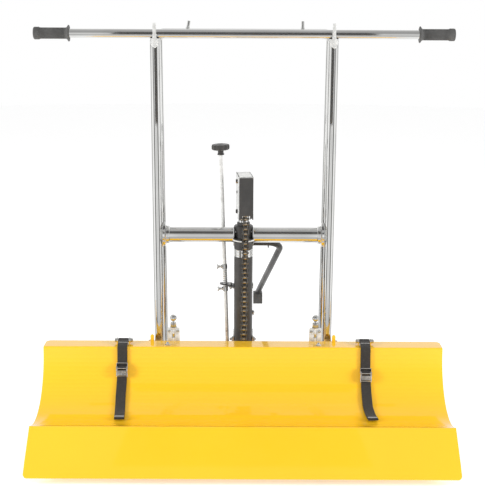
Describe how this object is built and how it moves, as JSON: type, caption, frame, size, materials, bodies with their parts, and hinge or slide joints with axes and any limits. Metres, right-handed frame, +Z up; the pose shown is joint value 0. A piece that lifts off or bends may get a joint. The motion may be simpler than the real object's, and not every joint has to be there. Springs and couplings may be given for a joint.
{
  "type": "hydraulic roll lifting trolley",
  "caption": "Pump-operated lifting trolley: a curved tray with ramp and straps rides up a tubular mast by chain and hydraulic ram, on wheels and swivel casters.",
  "frame": {"origin": "on the floor, at the middle of the object's footprint", "axes": "+Z up; +Y towards the operator behind the masts, -Y towards the tray; +X to the right seen from the tray side"},
  "size_m": [1.0326, 0.7596, 1.0437],
  "materials": {
    "chrome_plate": "polished chrome plate",
    "zinc_steel": "bright zinc-plated steel",
    "yellow_paint": "semi-gloss yellow powder coat",
    "black_paint": "satin black paint",
    "grip_rubber": "matt moulded rubber",
    "webbing": "woven polyester webbing",
    "wheel_tread": "dark polyurethane"
  },
  "bodies": {
    "frame": {"mast_left": "chrome_plate", "mast_right": "chrome_plate", "rear_hoop": "chrome_plate", "handlebar": "chrome_plate", "grip_left": "grip_rubber", "grip_right": "grip_rubber", "cross_tube": "chrome_plate", "side_rail_left": "chrome_plate", "side_rail_right": "chrome_plate", "base_crossbar": "chrome_plate", "cylinder_barrel": "black_paint", "gland_band": "chrome_plate", "lower_collar": "black_paint", "upper_collar": "black_paint", "barrel_clamp": "zinc_steel", "chain_guard": "black_paint", "pump_block": "black_paint", "pedal_bracket": "black_paint", "rod_bracket": "black_paint"},
    "carriage": {"tray": "yellow_paint", "carriage_bracket_left": "yellow_paint", "carriage_bracket_right": "yellow_paint", "carriage_beam": "yellow_paint", "latch_plate_left": "zinc_steel", "latch_plate_right": "zinc_steel", "strap_pin_left": "zinc_steel", "strap_pin_right": "zinc_steel", "strap_left": "webbing", "strap_right": "webbing", "buckle_left": "chrome_plate", "buckle_right": "chrome_plate"},
    "ram": {"ram_rod": "chrome_plate", "head_case": "black_paint", "chain_front": "zinc_steel", "chain_rear": "zinc_steel"},
    "sprocket": {"sprocket": "zinc_steel"},
    "release": {"release_rod": "zinc_steel", "release_knob": "black_paint", "thumb_collar_upper": "zinc_steel", "thumb_collar_lower": "zinc_steel", "release_spring": "zinc_steel"},
    "thumb_screw_upper": {"thumb_screw_upper": "zinc_steel"},
    "thumb_screw_lower": {"thumb_screw_lower": "zinc_steel"},
    "pedal": {"pedal": "black_paint", "pedal_pad": "grip_rubber"},
    "pump_plunger": {"pump_plunger": "chrome_plate"},
    "guide_roller_front_left": {"guide_roller_front_left": "zinc_steel"},
    "guide_roller_rear_left": {"guide_roller_rear_left": "zinc_steel"},
    "latch_pin_left": {"latch_pin_left": "chrome_plate"},
    "buckle_lever_left": {"buckle_lever_left": "zinc_steel"},
    "front_wheel_left": {"front_wheel_left": "wheel_tread"},
    "caster_left": {"caster_fork_left": "zinc_steel"},
    "caster_wheel_left": {"caster_wheel_left": "wheel_tread"},
    "guide_roller_front_right": {"guide_roller_front_right": "zinc_steel"},
    "guide_roller_rear_right": {"guide_roller_rear_right": "zinc_steel"},
    "latch_pin_right": {"latch_pin_right": "chrome_plate"},
    "buckle_lever_right": {"buckle_lever_right": "zinc_steel"},
    "front_wheel_right": {"front_wheel_right": "wheel_tread"},
    "caster_right": {"caster_fork_right": "zinc_steel"},
    "caster_wheel_right": {"caster_wheel_right": "wheel_tread"}
  },
  "joints": [
    {"name": "carriage_lift", "type": "slide", "parent": "frame", "child": "carriage", "axis": [0, 0, 1], "range_m": [0, 0.6]},
    {"name": "ram_extend", "type": "slide", "parent": "frame", "child": "ram", "axis": [0, 0, 1], "range_m": [0, 0.3], "deforming": ["chain_front"]},
    {"name": "sprocket_spin", "type": "hinge", "parent": "ram", "child": "sprocket", "pos_m": [0.0025, 0.01925, 0.617], "axis": [0.9954, 0.0958, 0], "continuous": true},
    {"name": "release_press", "type": "slide", "parent": "frame", "child": "release", "axis": [0.0332, 0, -0.9995], "range_m": [0, 0.012], "stiffness_N_per_m": 2000, "springref_m": -0.005, "deforming": ["release_spring"]},
    {"name": "thumb_screw_upper_turn", "type": "hinge", "parent": "release", "child": "thumb_screw_upper", "pos_m": [-0.04727, 0.04325, 0.41716], "axis": [0.9995, 0, 0.0332], "continuous": true},
    {"name": "thumb_screw_lower_turn", "type": "hinge", "parent": "release", "child": "thumb_screw_lower", "pos_m": [-0.04528, 0.04325, 0.35719], "axis": [0.9995, 0, 0.0332], "continuous": true},
    {"name": "pedal_press", "type": "hinge", "parent": "frame", "child": "pedal", "pos_m": [0, 0.07525, 0.474], "axis": [-1, 0, 0], "range_deg": [0, 22], "stiffness_Nm_per_rad": 8, "springref_deg": -45.84},
    {"name": "pump_stroke", "type": "slide", "parent": "frame", "child": "pump_plunger", "axis": [0, 0, -1], "range_m": [0, 0.012]},
    {"name": "guide_roller_front_left_spin", "type": "hinge", "parent": "carriage", "child": "guide_roller_front_left", "pos_m": [-0.2195, -0.00875, 0.226], "axis": [1, 0, 0], "continuous": true},
    {"name": "guide_roller_rear_left_spin", "type": "hinge", "parent": "carriage", "child": "guide_roller_rear_left", "pos_m": [-0.2195, 0.03725, 0.112], "axis": [1, 0, 0], "continuous": true},
    {"name": "latch_pull_left", "type": "slide", "parent": "carriage", "child": "latch_pin_left", "axis": [0, 0, 1], "range_m": [0, 0.012], "stiffness_N_per_m": 600, "springref_m": -0.004},
    {"name": "buckle_open_left", "type": "hinge", "parent": "carriage", "child": "buckle_lever_left", "pos_m": [-0.3065, -0.09612, 0.1876], "axis": [-1, 0, 0], "range_deg": [0, 100], "stiffness_Nm_per_rad": 0.02, "springref_deg": -22.92},
    {"name": "front_wheel_left_spin", "type": "hinge", "parent": "frame", "child": "front_wheel_left", "pos_m": [-0.2195, -0.26175, 0.035], "axis": [1, 0, 0], "continuous": true},
    {"name": "caster_swivel_left", "type": "hinge", "parent": "frame", "child": "caster_left", "pos_m": [-0.2195, 0.19825, 0.11], "axis": [0, 0, 1], "continuous": true},
    {"name": "caster_wheel_left_spin", "type": "hinge", "parent": "caster_left", "child": "caster_wheel_left", "pos_m": [-0.2195, 0.23025, 0.05], "axis": [1, 0, 0], "continuous": true},
    {"name": "guide_roller_front_right_spin", "type": "hinge", "parent": "carriage", "child": "guide_roller_front_right", "pos_m": [0.2195, -0.00875, 0.226], "axis": [1, 0, 0], "continuous": true},
    {"name": "guide_roller_rear_right_spin", "type": "hinge", "parent": "carriage", "child": "guide_roller_rear_right", "pos_m": [0.2195, 0.03725, 0.112], "axis": [1, 0, 0], "continuous": true},
    {"name": "latch_pull_right", "type": "slide", "parent": "carriage", "child": "latch_pin_right", "axis": [0, 0, 1], "range_m": [0, 0.012], "stiffness_N_per_m": 600, "springref_m": -0.004},
    {"name": "buckle_open_right", "type": "hinge", "parent": "carriage", "child": "buckle_lever_right", "pos_m": [0.3115, -0.10058, 0.17767], "axis": [-1, 0, 0], "range_deg": [0, 100], "stiffness_Nm_per_rad": 0.02, "springref_deg": -22.92},
    {"name": "front_wheel_right_spin", "type": "hinge", "parent": "frame", "child": "front_wheel_right", "pos_m": [0.2195, -0.26175, 0.035], "axis": [1, 0, 0], "continuous": true},
    {"name": "caster_swivel_right", "type": "hinge", "parent": "frame", "child": "caster_right", "pos_m": [0.2195, 0.19825, 0.11], "axis": [0, 0, 1], "continuous": true},
    {"name": "caster_wheel_right_spin", "type": "hinge", "parent": "caster_right", "child": "caster_wheel_right", "pos_m": [0.2195, 0.23025, 0.05], "axis": [1, 0, 0], "continuous": true}
  ],
  "couplings": [
    {"joint": "ram_extend", "follows": "carriage_lift", "ratio": 0.5},
    {"joint": "sprocket_spin", "follows": "carriage_lift", "rad_per_m": -13.673},
    {"joint": "pump_stroke", "follows": "pedal_press", "m_per_rad": 0.03}
  ]
}
